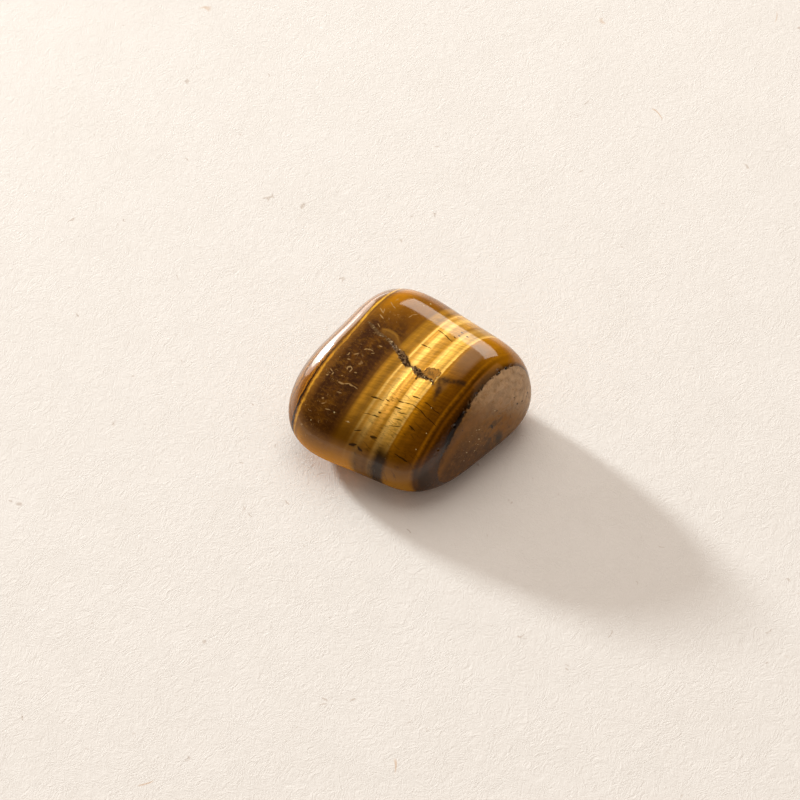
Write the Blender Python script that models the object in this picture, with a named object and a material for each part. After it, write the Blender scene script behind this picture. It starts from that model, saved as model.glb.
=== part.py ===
"""A tumbled tiger's eye: one solid block of banded quartz, worn round and polished.

X runs along the bands, Y across them and Z up. The origin is on the floor, under the
middle of the stone, which rests on a small flat on its underside. One healed crack
crosses the top, and a rough seam parts the silky bands from the plain brown side.
Run with: blender --background --python part.py
"""
import math
import random

import bmesh
import bpy
import numpy as np
from mathutils import Vector

MM = 0.001
STONE = "tiger_eye_stone"

# ---- driving dimensions, in millimetres ----------------------------------------------
# The six worn faces of the block: the way each looks, how far it lies from the heart of
# the stone, and how flat it stayed. A flatness of 2 is round as a ball, 7 is nearly flat.
HEART = (1.72, 0.58, 6.35)
FACES = {
    "top": ((-0.10, -0.03, 1.00), 6.6, 2.1),
    "underside": ((0.00, 0.00, -1.00), 6.6, 2.5),
    "far end": ((1.00, -0.02, 0.04), 10.5, 3.7),
    "near end": ((-1.00, -0.19, 0.40), 11.6, 3.0),
    "silky side": ((0.05, 1.00, -0.09), 11.2, 3.0),
    "brown side": ((-0.13, -1.00, 0.21), 11.4, 7.4),
}
SWELL = 0.012                   # how far the skin swells and sinks, as a share of fullness
SWELL_LENGTHS = (11.0, 13.0, 9.0)
SWELL_SHIFT = (0.8, 2.1, 0.4)
CELLS = 25                      # cells along each edge of the cube that is worn down
CELL_SPREAD = 0.9               # 1 gives the middle cells the size of the corner ones

# The crack over the top, as places seen from above, and the groove that it left.
CRACK_ROUTE = ((2.4, 8.2), (1.5, 5.8), (1.1, 4.2), (0.9, 2.9), (0.3, 1.2),
               (-0.3, -0.2), (-0.3, -1.3), (-0.7, -2.4), (-0.3, -3.6), (-0.3, -4.6))
CRACK_WIDTH = 0.70
CRACK_DEPTH = 0.16

# The seam lies in a plane that leans as the bands do, this far from the heart.
BAND_LEAN = (0.06, 1.00, -0.125)
SEAM_OFFSET = -10.05
SEAM_REACH = (-7.4, 9.2)
SEAM_STEPS = 13
SEAM_WIDTH = 0.50
SEAM_DEPTH = 0.12

# Small pits where softer grains broke out along the seam.
PIT_COUNT = 8
PIT_RADIUS = 0.45
PIT_DEPTHS = (0.10, 0.20)
PIT_STRAY = 0.35
PIT_SEED = 11

STONE_COLOUR = (0.36, 0.19, 0.045, 1.0)
STONE_ROUGHNESS = 0.12


def face_table():
    """The faces' unit directions, distances and flatness, as arrays."""
    looks = np.array([look for look, reach, flat in FACES.values()])
    looks /= np.linalg.norm(looks, axis=1)[:, None]
    reaches = np.array([reach for look, reach, flat in FACES.values()])
    flats = np.array([flat for look, reach, flat in FACES.values()])
    return looks, reaches, flats


LOOKS, REACHES, FLATS = face_table()


def fullness(points):
    """Below 1 inside the stone, 1 on its skin and above 1 outside."""
    share = np.clip((points - np.array(HEART)) @ LOOKS.T / REACHES, 0.0, None)
    waves = np.sin(points * 2.0 * math.pi / np.array(SWELL_LENGTHS) + np.array(SWELL_SHIFT))
    return (share ** FLATS).sum(axis=-1) + SWELL * waves.sum(axis=-1)


def outward(point):
    """The direction that the skin faces at a point on it."""
    share = np.clip((np.array(point) - np.array(HEART)) @ LOOKS.T / REACHES, 0.0, None)
    slope = (FLATS * share ** (FLATS - 1.0) / REACHES) @ LOOKS
    return Vector(slope).normalized()


def skin_along(starts, directions, longest=30.0):
    """The points where straight lines from inside the stone meet its skin."""
    near = np.zeros(len(directions))
    far = np.full(len(directions), longest)
    for _ in range(40):
        middle = (near + far) / 2.0
        inside = fullness(starts + directions * middle[:, None]) < 1.0
        near = np.where(inside, middle, near)
        far = np.where(inside, far, middle)
    return starts + directions * near[:, None]


def skin_above(x, y):
    """The point of the skin above a place (x, y)."""
    start = np.array([[x, y, HEART[2]]])
    return skin_along(start, np.array([[0.0, 0.0, 1.0]]))[0]


def seam_point(x):
    """The point of the skin above x that lies in the seam's leaning plane."""
    plane = Vector(BAND_LEAN).normalized()
    place = np.array((x, HEART[1] + SEAM_OFFSET, HEART[2]))
    for _ in range(20):
        place = skin_above(x, place[1])
        off = (Vector(place) - Vector(HEART)).dot(plane) - SEAM_OFFSET
        place[1] -= off / plane.y
    return skin_above(x, place[1])


def worn_block():
    """A cube in a grid of cells, each corner of it moved to the worn skin, on a flat."""
    shape = bmesh.new()
    bmesh.ops.create_cube(shape, size=2.0)
    bmesh.ops.subdivide_edges(shape, edges=shape.edges[:], cuts=CELLS - 1, use_grid_fill=True)
    grid = np.array([vertex.co[:] for vertex in shape.verts])
    directions = np.tan(grid * CELL_SPREAD * math.pi / 4.0)
    directions *= np.array((REACHES[2], REACHES[4], REACHES[0]))
    directions /= np.linalg.norm(directions, axis=1)[:, None]
    starts = np.repeat(np.array([HEART]), len(directions), axis=0)
    for vertex, place in zip(shape.verts, skin_along(starts, directions)):
        vertex.co = Vector(place) * MM
    everything = shape.verts[:] + shape.edges[:] + shape.faces[:]
    cut = bmesh.ops.bisect_plane(shape, geom=everything, plane_co=(0, 0, 0),
                                 plane_no=(0, 0, -1), clear_outer=True)
    rim = [part for part in cut["geom_cut"] if isinstance(part, bmesh.types.BMEdge)]
    bmesh.ops.edgeloop_fill(shape, edges=rim)
    bmesh.ops.recalc_face_normals(shape, faces=shape.faces[:])
    mesh = bpy.data.meshes.new(STONE)
    shape.to_mesh(mesh)
    shape.free()
    return mesh


def rod_radius(width, depth):
    """The radius of a round rod that leaves a groove of this width and depth."""
    return (width ** 2 / 4.0 + depth ** 2) / (2.0 * depth)


def closed_mesh(curve_object):
    """A curve's evaluated mesh with its caps welded on."""
    seen = curve_object.evaluated_get(bpy.context.evaluated_depsgraph_get())
    mesh = bpy.data.meshes.new_from_object(seen)
    welded = bmesh.new()
    welded.from_mesh(mesh)
    bmesh.ops.remove_doubles(welded, verts=welded.verts[:], dist=0.001 * MM)
    bmesh.ops.recalc_face_normals(welded, faces=welded.faces[:])
    welded.to_mesh(mesh)
    welded.free()
    return mesh


def groove_cutter(name, places, width, depth):
    """A round rod along the skin, sunk into it in the middle and lifted off at its ends."""
    radius = rod_radius(width, depth)
    curve = bpy.data.curves.new(name, "CURVE")
    curve.dimensions = "3D"
    curve.bevel_depth = radius * MM
    curve.bevel_resolution = 3
    curve.use_fill_caps = True
    spline = curve.splines.new("POLY")
    spline.points.add(len(places) - 1)
    for index, place in enumerate(places):
        from_middle = 2.0 * index / (len(places) - 1) - 1.0
        sunk = depth * (1.0 - 1.5 * from_middle ** 6)
        centre = Vector(place) + outward(place) * (radius - sunk)
        spline.points[index].co = (*(centre * MM), 1.0)
    rod = bpy.data.objects.new(name, curve)
    bpy.context.scene.collection.objects.link(rod)
    bpy.context.view_layer.update()
    cutter = bpy.data.objects.new(name, closed_mesh(rod))
    cutter.matrix_world = rod.matrix_world
    bpy.data.objects.remove(rod)
    return cutter


def pit_cutter(name, place, depth):
    """A small ball that dents the skin at a place."""
    ball = bmesh.new()
    bmesh.ops.create_uvsphere(ball, u_segments=10, v_segments=7, radius=PIT_RADIUS * MM)
    mesh = bpy.data.meshes.new(name)
    ball.to_mesh(mesh)
    ball.free()
    cutter = bpy.data.objects.new(name, mesh)
    cutter.location = (Vector(place) + outward(place) * (PIT_RADIUS - depth)) * MM
    return cutter


def pit_cutters():
    """Pits scattered at uneven places along the seam."""
    chance = random.Random(PIT_SEED)
    cutters = []
    for index in range(PIT_COUNT):
        share = (index + chance.uniform(0.2, 0.8)) / PIT_COUNT
        x = SEAM_REACH[0] + 1.0 + share * (SEAM_REACH[1] - SEAM_REACH[0] - 2.0)
        place = seam_point(x)
        place = skin_above(x, place[1] + chance.uniform(-PIT_STRAY, PIT_STRAY))
        cutters.append(pit_cutter(f"pit_{index + 1}", place, chance.uniform(*PIT_DEPTHS)))
    return cutters


def new_collection(name):
    collection = bpy.data.collections.new(name)
    bpy.context.scene.collection.children.link(collection)
    return collection


def stone_material():
    material = bpy.data.materials.new("polished_tiger_eye")
    material.use_nodes = True
    finish = material.node_tree.nodes["Principled BSDF"]
    finish.inputs["Base Color"].default_value = STONE_COLOUR
    finish.inputs["Roughness"].default_value = STONE_ROUGHNESS
    finish.inputs["Metallic"].default_value = 0.0
    return material


def build():
    for old in list(bpy.data.objects):
        bpy.data.objects.remove(old)
    stone = bpy.data.objects.new(STONE, worn_block())
    new_collection("tumbled_tiger_eye").objects.link(stone)

    crack = [skin_above(x, y) for x, y in CRACK_ROUTE]
    seam = [seam_point(x) for x in np.linspace(*SEAM_REACH, SEAM_STEPS)]
    cutters = [groove_cutter("crack_groove", crack, CRACK_WIDTH, CRACK_DEPTH),
               groove_cutter("seam_groove", seam, SEAM_WIDTH, SEAM_DEPTH)]
    cutters += pit_cutters()

    tools = new_collection("cutters")
    for cutter in cutters:
        tools.objects.link(cutter)
        cutter.hide_render = True
        cutter.display_type = "WIRE"
        carve = stone.modifiers.new(cutter.name, "BOOLEAN")
        carve.operation = "DIFFERENCE"
        carve.solver = "EXACT"
        carve.object = cutter

    stone.data.materials.append(stone_material())
    stone.data.shade_smooth()
    stone.data.set_sharp_from_angle(angle=math.radians(35.0))


build()
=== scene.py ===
# %% [markdown]
# # A tumbled tiger's eye, dressed around its solid
# This lesson dresses one polished stone. The solid that carries it is already made and
# packed, so the first step loads it as a fixed frame. Everything here is in metres, in
# that same frame: X runs along the stone's bands, Y across them and Z up. The sizes of
# the stone are easier to read in millimetres, so they are written that way and multiplied
# by MM where a mesh needs them.

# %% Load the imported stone
import math

import bmesh
import bpy
import numpy as np
from mathutils import Matrix, Vector, noise


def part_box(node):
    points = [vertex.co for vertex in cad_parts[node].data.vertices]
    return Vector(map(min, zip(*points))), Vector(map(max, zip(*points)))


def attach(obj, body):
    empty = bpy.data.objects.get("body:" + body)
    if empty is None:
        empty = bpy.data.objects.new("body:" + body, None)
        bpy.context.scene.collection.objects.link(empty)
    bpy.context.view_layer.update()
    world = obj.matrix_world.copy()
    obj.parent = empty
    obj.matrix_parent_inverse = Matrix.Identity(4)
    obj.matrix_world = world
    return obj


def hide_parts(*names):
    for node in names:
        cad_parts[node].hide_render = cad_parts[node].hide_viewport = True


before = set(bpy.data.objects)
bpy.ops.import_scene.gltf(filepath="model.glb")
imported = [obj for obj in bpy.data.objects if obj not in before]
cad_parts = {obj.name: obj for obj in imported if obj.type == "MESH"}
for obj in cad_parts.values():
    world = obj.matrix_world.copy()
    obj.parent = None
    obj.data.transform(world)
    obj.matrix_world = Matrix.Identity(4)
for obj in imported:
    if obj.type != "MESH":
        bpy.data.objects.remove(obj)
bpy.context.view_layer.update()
MM = 0.001
STONE_NODE = "tiger_eye_stone"
lowest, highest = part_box(STONE_NODE)
stone_size = (highest - lowest) / MM
print("the solid measures", [round(side, 2) for side in stone_size], "mm")

# %% [markdown]
# # The camera
# A long lens keeps the perspective weak, as in a close view of a small thing. The camera
# stands at an angle around the stone and a height above the floor, and looks at a point
# just behind the stone's middle. Placing it from two angles and a distance is easier to
# tune than typing a position, and `to_track_quat` turns it to face its target.

# %% Place the camera
VIEW_AROUND = -52.0       # degrees around Z: 0 looks along +Y
VIEW_HEIGHT = 52.0        # degrees above the floor
VIEW_DISTANCE = 300.0 * MM
VIEW_TARGET = Vector((2.5, 2.9, 0.25)) * MM
LENS = 108.0


def direction(around, height):
    """The unit vector towards a place at these angles, seen from the stone."""
    around = math.radians(around)
    height = math.radians(height)
    return Vector((math.sin(around) * math.cos(height),
                   -math.cos(around) * math.cos(height), math.sin(height)))


def look_at(thing, place, target):
    """Puts a camera or lamp at a place, with its -Z axis towards the target."""
    thing.location = place
    thing.rotation_euler = (place - target).to_track_quat("Z", "Y").to_euler()


def add_object(name, data):
    """An object in the scene's own collection."""
    thing = bpy.data.objects.new(name, data)
    bpy.context.scene.collection.objects.link(thing)
    return thing


camera = add_object("camera", bpy.data.cameras.new("camera"))
camera.data.lens = LENS
camera.data.clip_start = 0.01
camera.data.clip_end = 20.0
towards_camera = direction(VIEW_AROUND, VIEW_HEIGHT)
look_at(camera, VIEW_TARGET + towards_camera * VIEW_DISTANCE, VIEW_TARGET)
bpy.context.scene.camera = camera
print("camera at", [round(value, 3) for value in camera.location])

# %% [markdown]
# # The worn block
# A tumbled stone is a broken block whose edges were ground away, so it still shows its
# old faces. A sculpted sphere would hide them, and a bevelled box would keep hard flats.
# Here each face is one term of a sum: how far a point lies towards that face, as a share
# of the face's reach, raised to a power that says how flat the face stayed. The skin is
# where the terms add up to one. Small waves on top make the swells of a real stone.

# %% The six worn faces
HEART = np.array((1.72, 0.58, 6.35))
FACES = {                 # the way each face looks, its reach in mm and its flatness
    "top": ((-0.1, -0.03, 1.0), 6.6, 2.1),
    "underside": ((0.0, 0.0, -1.0), 6.6, 2.5),
    "far end": ((1.0, -0.02, 0.04), 10.5, 3.7),
    "near end": ((-1.0, -0.19, 0.4), 11.6, 3.0),
    "silky side": ((0.05, 1.0, -0.09), 11.2, 3.0),
    "brown side": ((-0.13, -1.0, 0.21), 11.4, 7.4),
}
SWELL = 0.012
SWELL_LENGTHS = np.array((11.0, 13.0, 9.0))
SWELL_SHIFT = np.array((0.8, 2.1, 0.4))
BEYOND_SKIN = 30.0        # mm from the heart to a place that is surely outside
HALVINGS = 36             # how often the search for the skin halves its step
looks = np.array([look for look, reach, flat in FACES.values()])
looks /= np.linalg.norm(looks, axis=1)[:, None]
reaches = np.array([reach for look, reach, flat in FACES.values()])
flats = np.array([flat for look, reach, flat in FACES.values()])


def fullness(points):
    """Below 1 inside the stone, 1 on its skin and above 1 outside."""
    share = np.clip((points - HEART) @ looks.T / reaches, 0.0, None)
    waves = np.sin(points * 2.0 * math.pi / SWELL_LENGTHS + SWELL_SHIFT)
    return (share ** flats).sum(axis=-1) + SWELL * waves.sum(axis=-1)


def outward(points):
    """The directions that the skin faces at points on it."""
    share = np.clip((points - HEART) @ looks.T / reaches, 0.0, None)
    slope = (flats * share ** (flats - 1.0) / reaches) @ looks
    return slope / np.linalg.norm(slope, axis=-1, keepdims=True)


def skin_along(starts, directions):
    """The points where straight lines from inside the stone meet its skin."""
    near = np.zeros(len(directions))
    far = np.full(len(directions), BEYOND_SKIN)
    for _ in range(HALVINGS):
        middle = (near + far) / 2.0
        inside = fullness(starts + directions * middle[:, None]) < 1.0
        near = np.where(inside, middle, near)
        far = np.where(inside, far, middle)
    return starts + directions * near[:, None]


def skin_above(places):
    """The points of the skin above places seen from the top."""
    places = np.array(places, dtype=float)
    starts = np.column_stack([places, np.full(len(places), HEART[2])])
    return skin_along(starts, np.tile((0.0, 0.0, 1.0), (len(places), 1)))


print("highest point of the skin:", round(float(skin_above([(6.0, 0.6)])[0, 2]), 2), "mm")

# %% [markdown]
# # Where the bands lie
# The silky bands are flat layers that lean a little, so one number places any point
# among them: its distance from the heart along the layers' own direction. The crack is a
# rough line over the top, given by a few places seen from above. Both are needed twice,
# once to carve the surface and once to colour it, so they are measured here.

# %% The bands' direction, the crack and the seam
BAND_LEAN = np.array((0.06, 1.0, -0.125))
BAND_LEAN /= np.linalg.norm(BAND_LEAN)
SEAM_AT = -10.05
CRACK_ROUTE = (           # x, y and half width of the filling in mm, and how pale it is
    (2.05, 7.4, 0.06, 0.5), (1.86, 6.9, 0.14, 0.6), (1.6, 6.33, 0.22, 0.8),
    (1.42, 5.72, 0.2, 0.5), (1.16, 5.1, 0.24, 0.6), (1.15, 4.5, 0.2, 0.7),
    (1.28, 4.1, 0.07, 0.1), (1.12, 3.75, 0.17, 0.9), (1.08, 3.3, 0.26, 0.9),
    (0.92, 2.83, 0.26, 0.8), (0.72, 2.24, 0.27, 0.7), (0.52, 1.54, 0.36, 0.6),
    (0.4, 1.05, 0.48, 0.5), (0.17, 0.5, 0.52, 0.4), (-0.1, 0.0, 0.46, 0.2),
    (-0.27, -0.42, 0.36, 0.1),
    (-0.16, -0.93, 0.1, 0.3), (-0.22, -1.4, 0.32, 0.8), (-0.3, -1.9, 0.44, 0.8),
    (-0.4, -2.4, 0.42, 0.2), (-0.45, -2.9, 0.3, 0.4), (-0.38, -3.4, 0.24, 0.2),
    (-0.28, -3.9, 0.2, 0.8), (-0.36, -4.3, 0.17, 0.3), (-0.58, -4.55, 0.08, 0.2))
CRACK_SPUR = ((-0.7, -2.25, 0.14, 0.2), (-1.12, -2.42, 0.1, 0.1))
LENS_EDGE = ((1.55, 5.3), (2.08, 5.3), (2.35, 4.7), (2.47, 3.9), (2.42, 3.3), (2.12, 2.7),
             (1.6, 2.15), (1.3, 1.6), (0.9, 1.0), (0.75, 1.6), (1.05, 2.5), (1.35, 3.2),
             (1.4, 3.9), (1.25, 4.6))
FLAKE_EDGE = ((-0.1, -2.2), (0.25, -2.45), (0.75, -2.45), (1.0, -2.85), (1.27, -3.3),
              (1.36, -3.9), (1.15, -4.47), (0.3, -4.42), (-0.4, -4.45), (-0.28, -3.8),
              (-0.38, -3.2), (-0.38, -2.5))
SMOKE_ARMS = (            # soft dark arms below the crack's end, written as the crack is
    ((-1.9, -5.75, 0.05, 0.0), (-1.3, -5.62, 0.18, 0.0), (-0.8, -5.5, 0.22, 0.0),
     (-0.1, -5.1, 0.1, 0.0), (0.45, -4.75, 0.06, 0.0)),
    ((0.58, -5.1, 0.18, 0.0), (0.62, -5.45, 0.2, 0.0), (0.95, -5.95, 0.14, 0.0),
     (1.4, -6.6, 0.18, 0.0), (1.75, -7.25, 0.24, 0.0)))
ABOVE = 4.0               # marks lie only on skin that is higher than this, in mm
FAR_AWAY = 3.0            # no mark is felt further than this, in mm


def across_bands(points):
    """Distance from the heart across the bands, in mm: + is the silky side."""
    return (points - HEART) @ BAND_LEAN


def along_line(points, start, end):
    """How far along a straight line each point lies, as a share, and its distance in mm."""
    way = np.array(end) - np.array(start)
    reached = points[:, :2] - np.array(start)
    share = np.clip(reached @ way / (way @ way), 0.0, 1.0)
    return share, np.linalg.norm(reached - share[:, None] * way, axis=1)


def line_gap(points, route):
    """Distance outside a line of changing width in mm, seen from above, and its paleness."""
    gap = np.full(len(points), FAR_AWAY)
    pale = np.zeros(len(points))
    for first, second in zip(route, route[1:]):
        share, distance = along_line(points, first[:2], second[:2])
        outside = distance - (first[2] + (second[2] - first[2]) * share)
        closer = outside < gap
        pale = np.where(closer, first[3] + (second[3] - first[3]) * share, pale)
        gap = np.where(closer, outside, gap)
    return np.where(points[:, 2] > ABOVE, gap, FAR_AWAY), pale


def depth_inside(points, corners):
    """How far points lie inside an outline seen from above, in mm: negative outside it."""
    inside = np.zeros(len(points), dtype=bool)
    nearest = np.full(len(points), FAR_AWAY)
    for start, end in zip(corners, corners[1:] + corners[:1]):
        nearest = np.minimum(nearest, along_line(points, start, end)[1])
        rise = end[1] - start[1]
        crosses = (start[1] > points[:, 1]) != (end[1] > points[:, 1])
        level = (points[:, 1] - start[1]) / (rise if rise else 1.0)
        inside ^= crosses & (points[:, 0] < start[0] + level * (end[0] - start[0]))
    depth = np.where(inside, nearest, -nearest)
    return np.where(points[:, 2] > ABOVE, depth, -FAR_AWAY)


steps = np.diff(np.array(CRACK_ROUTE)[:, :2], axis=0)
print("the crack is", round(float(np.linalg.norm(steps, axis=1).sum()), 1), "mm long")

# %% [markdown]
# # Marks that are placed one by one
# Dozens of small marks make this one stone: dark cracks across the gold, golden flecks in
# the umber and a few pale grains. Noise can scatter such marks but can't put one where it
# belongs, and a node for each would make a heavy material. They are strokes from one place
# to another, seen from above, and each corner of the mesh keeps how strongly it is marked.

# %% Where the marks lie
DASHES = (                # x and y of the start, x and y of the end, width
    (-5.72, 0.8, -5.45, 0.05, 0.13), (-5.45, 0.05, -5.33, -0.8, 0.06),
    (-5.06, -0.9, -5.02, -1.42, 0.1), (-4.44, -2.3, -4.22, -3.02, 0.09),
    (-4.22, -3.02, -3.88, -4.01, 0.06), (-3.88, -4.01, -3.88, -5.0, 0.09),
    (-3.88, -5.0, -4.06, -6.27, 0.08), (-4.06, -6.27, -4.0, -7.6, 0.07),
    (-5.18, -2.3, -5.02, -3.15, 0.1), (-5.45, -2.9, -5.13, -4.04, 0.07),
    (-6.25, -2.9, -5.86, -3.95, 0.07), (-7.55, 0.7, -7.19, -0.45, 0.05),
    (-7.19, -0.45, -6.93, -1.35, 0.09), (-7.05, -2.9, -6.5, -4.2, 0.06),
    (-3.07, -3.35, -2.84, -4.3, 0.1), (-2.79, -5.05, -2.9, -6.05, 0.08),
    (-2.95, -6.05, -2.83, -7.3, 0.06), (-5.87, -5.0, -5.94, -5.9, 0.1),
    (-8.78, -5.1, -8.5, -6.8, 0.09), (-8.92, -1.55, -8.68, -2.3, 0.2),
    (-10.55, 0.45, -10.2, -0.38, 0.14), (-10.25, -0.65, -10.31, -1.32, 0.15),
    (-9.36, 0.55, -8.98, -0.2, 0.09), (-6.6, -0.95, -6.52, -1.3, 0.12),
    (5.82, -0.3, 5.73, -1.4, 0.08), (5.73, -1.4, 5.44, -2.6, 0.09),
    (2.94, 0.0, 3.08, -0.79, 0.09), (3.08, -0.79, 3.14, -1.35, 0.05),
    (7.4, -2.62, 7.38, -2.98, 0.13), (7.26, -3.5, 7.2, -3.88, 0.13),
    (6.76, -2.75, 6.7, -3.02, 0.12), (6.2, -2.45, 6.15, -2.75, 0.1))
FLECKS = (
    (-4.5, 5.48, -4.2, 5.2, 0.12), (-4.2, 5.2, -4.38, 4.8, 0.09),
    (-4.38, 4.8, -4.86, 4.86, 0.1), (-4.72, 5.3, -4.52, 5.48, 0.12),
    (-6.2, 4.55, -5.98, 4.06, 0.08), (-5.98, 4.06, -5.94, 3.41, 0.1),
    (-5.94, 3.41, -5.9, 2.8, 0.07), (-1.56, 5.18, -1.35, 4.89, 0.12),
    (-1.35, 4.89, -1.2, 4.48, 0.1), (-1.2, 4.48, -1.18, 4.1, 0.07),
    (-3.2, 6.4, -2.82, 6.43, 0.1), (-2.77, 5.84, -2.36, 5.38, 0.1),
    (4.5, 7.55, 3.96, 6.62, 0.1), (4.66, 6.94, 3.96, 6.62, 0.07),
    (3.62, 6.86, 3.24, 6.05, 0.11), (5.1, 3.55, 5.69, 3.45, 0.08),
    (5.69, 3.45, 6.12, 3.06, 0.08), (1.78, -9.12, 2.35, -9.08, 0.2),
    (-6.35, 7.25, -6.28, 7.0, 0.1), (-5.55, 7.25, -5.75, 6.75, 0.07),
    (-6.05, 6.62, -5.8, 6.55, 0.12), (-8.65, 6.1, -8.6, 5.85, 0.1),
    (-9.15, 5.8, -8.9, 5.4, 0.06), (-9.35, 5.0, -9.25, 4.4, 0.07),
    (-6.45, 5.3, -6.28, 4.6, 0.13), (-5.65, 5.5, -5.55, 5.3, 0.07),
    (-3.65, 6.15, -3.55, 5.8, 0.1), (-7.4, 4.8, -7.2, 4.2, 0.06),
    (-4.6, 4.3, -4.5, 4.0, 0.09), (-0.2, 4.0, -0.1, 3.6, 0.1),
    (-1.6, 4.1, -1.3, 3.8, 0.07), (-9.2, 2.0, -9.05, 1.5, 0.1),
    (5.9, 7.0, 5.55, 6.4, 0.07), (5.55, 6.4, 5.3, 5.8, 0.08),
    (6.5, 6.65, 6.9, 6.5, 0.08), (2.35, 6.2, 2.0, 5.6, 0.07))
SPECKS = (                # x, y and radius of round pale grains
    (-9.19, 3.78, 0.16), (-2.93, -6.07, 0.1), (-5.29, -7.15, 0.11), (-7.14, -7.04, 0.1),
    (-10.67, -3.47, 0.12), (-9.59, -4.29, 0.09), (-9.11, 1.74, 0.12), (-0.42, -3.08, 0.13),
    (-0.28, -4.1, 0.12), (0.4, -4.33, 0.08), (8.72, 3.02, 0.22), (7.82, 3.35, 0.1),
    (-10.9, 6.05, 0.09))
SIDE_DARK = (             # marks on the brown side: x and z of both ends, and width
    (2.32, 6.62, 2.48, 6.0, 0.3), (6.9, 6.62, 7.05, 6.38, 0.21),
    (7.8, 6.15, 8.0, 6.1, 0.18), (9.1, 6.32, 9.35, 6.25, 0.2),
    (6.62, 7.76, 6.8, 7.7, 0.12), (3.6, 7.92, 3.8, 7.86, 0.09),
    (8.8, 6.1, 8.92, 6.02, 0.1), (-1.7, 8.5, -1.55, 8.45, 0.09))
SIDE_PALE = (
    (0.05, 6.02, 0.22, 5.86, 0.12), (-2.05, 5.36, -1.92, 5.22, 0.09),
    (0.42, 7.24, 0.62, 7.16, 0.09), (3.35, 8.14, 3.48, 8.06, 0.09),
    (-0.85, 4.7, -0.72, 4.6, 0.08), (-1.3, 6.62, -1.2, 6.52, 0.08),
    (-2.6, 4.3, -2.5, 4.2, 0.08), (0.1, 7.42, 0.2, 7.36, 0.07),
    (-0.2, 5.3, -0.1, 5.2, 0.07))
SIDE_RUST = ((1.82, 5.6, 2.08, 4.9, 0.07), (2.08, 4.9, 2.3, 3.4, 0.09))
SPECK_LENGTH = 0.03       # a speck is a stroke this short
SPECK_ROWS = tuple((x, y, x + SPECK_LENGTH, y, radius) for x, y, radius in SPECKS)
TAPER_FROM = 1.25         # a stroke is full along its middle and narrows towards its ends
TAPER_RATE = 1.6
TIP = 0.35                # but never below this share of its width
TOP_SOFT = 0.6            # how soft a mark's edge is, as a share of its half width
SIDE_SOFT = 0.7
SIDE_BEYOND = -8.0        # the brown side is the skin beyond this y and below this z
SIDE_BELOW = 9.6


def stroke_gap(points, row):
    """How far points lie outside one stroke, as a share of its half width."""
    share, distance = along_line(points, row[0:2], row[2:4])
    taper = np.clip(TAPER_FROM - TAPER_RATE * np.abs(share - 0.5), TIP, 1.0)
    return distance / (row[4] * taper)


def strength_on(points, rows, soft):
    """1 on the strokes and 0 away from them, with soft edges."""
    return np.max([np.clip((1.0 - stroke_gap(points, row)) / soft, 0.0, 1.0) for row in rows],
                  axis=0)


def near_rows(points, rows, reach):
    """True for points within this many mm of any stroke."""
    return np.any([(stroke_gap(points, row) - 1.0) * row[4] < reach for row in rows], axis=0)


def on_brown_side(points):
    """The points as (x, z), and True for those on the brown side."""
    return points[:, [0, 2]], (points[:, 1] < SIDE_BEYOND) & (points[:, 2] < SIDE_BELOW)


def stroke_mask(points, rows):
    """The strokes that are seen from above, on the upper skin only."""
    return np.where(points[:, 2] > ABOVE, strength_on(points, rows, TOP_SOFT), 0.0)


def side_mask(points, rows):
    """The strokes on the brown side."""
    flat, there = on_brown_side(points)
    return np.where(there, strength_on(flat, rows, SIDE_SOFT), 0.0)


def near_marks(points, reach):
    """True for points within this many mm of a mark on either skin."""
    flat, there = on_brown_side(points)
    above = near_rows(points, DASHES + FLECKS + SPECK_ROWS, reach) & (points[:, 2] > ABOVE)
    return above | (near_rows(flat, SIDE_DARK + SIDE_PALE + SIDE_RUST, reach) & there)


print(len(DASHES), "dashes,", len(FLECKS), "flecks and", len(SPECKS), "specks placed")

# %% [markdown]
# # A grid that is finer where the detail is
# The block starts as a cube in a grid of cells, with every corner moved to the skin.
# Cells of a quarter of a millimetre carry the smooth form, but the crack and the seam need
# finer ones. Making the whole stone that fine would cost millions of faces, so only the
# edges near them are divided again. The underside is eased onto the floor.

# %% Make the fine block
CELLS = 62
CELL_SPREAD = 0.9
REST_EASE = 0.25          # how softly the skin turns into the flat underneath, in mm
REFINE_NEAR = (1.2, 0.7, 0.35)  # how near to detail each pass divides the edges, in mm
MARK_SHARE = 0.3          # how much of that counts beside a mark
CRACK_SHARE = 0.6         # and beside the crack, the edges of its pockets and the seam
EDGE_SHARE = 0.4
SEAM_SHARE = 0.9
SEAM_BOTTOM = 5.5         # the seam is only refined above this height, in mm


def near_detail(points, reach):
    """True for points close to the crack, the edges of its pockets or the seam."""
    gap, _ = line_gap(points, CRACK_ROUTE)
    near_edge = np.minimum(np.abs(depth_inside(points, LENS_EDGE)),
                           np.abs(depth_inside(points, FLAKE_EDGE)))
    close_to_seam = np.abs(across_bands(points) - SEAM_AT) < reach * SEAM_SHARE
    on_seam = close_to_seam & (points[:, 2] > SEAM_BOTTOM)
    return (gap < reach * CRACK_SHARE) | (near_edge < reach * EDGE_SHARE) | on_seam


def to_skin(shape):
    """Moves every vertex of the grid straight away from the heart to the skin."""
    towards = np.array([vertex.co[:] for vertex in shape.verts])
    towards /= np.linalg.norm(towards, axis=1)[:, None]
    return skin_along(np.tile(HEART, (len(towards), 1)), towards)


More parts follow.
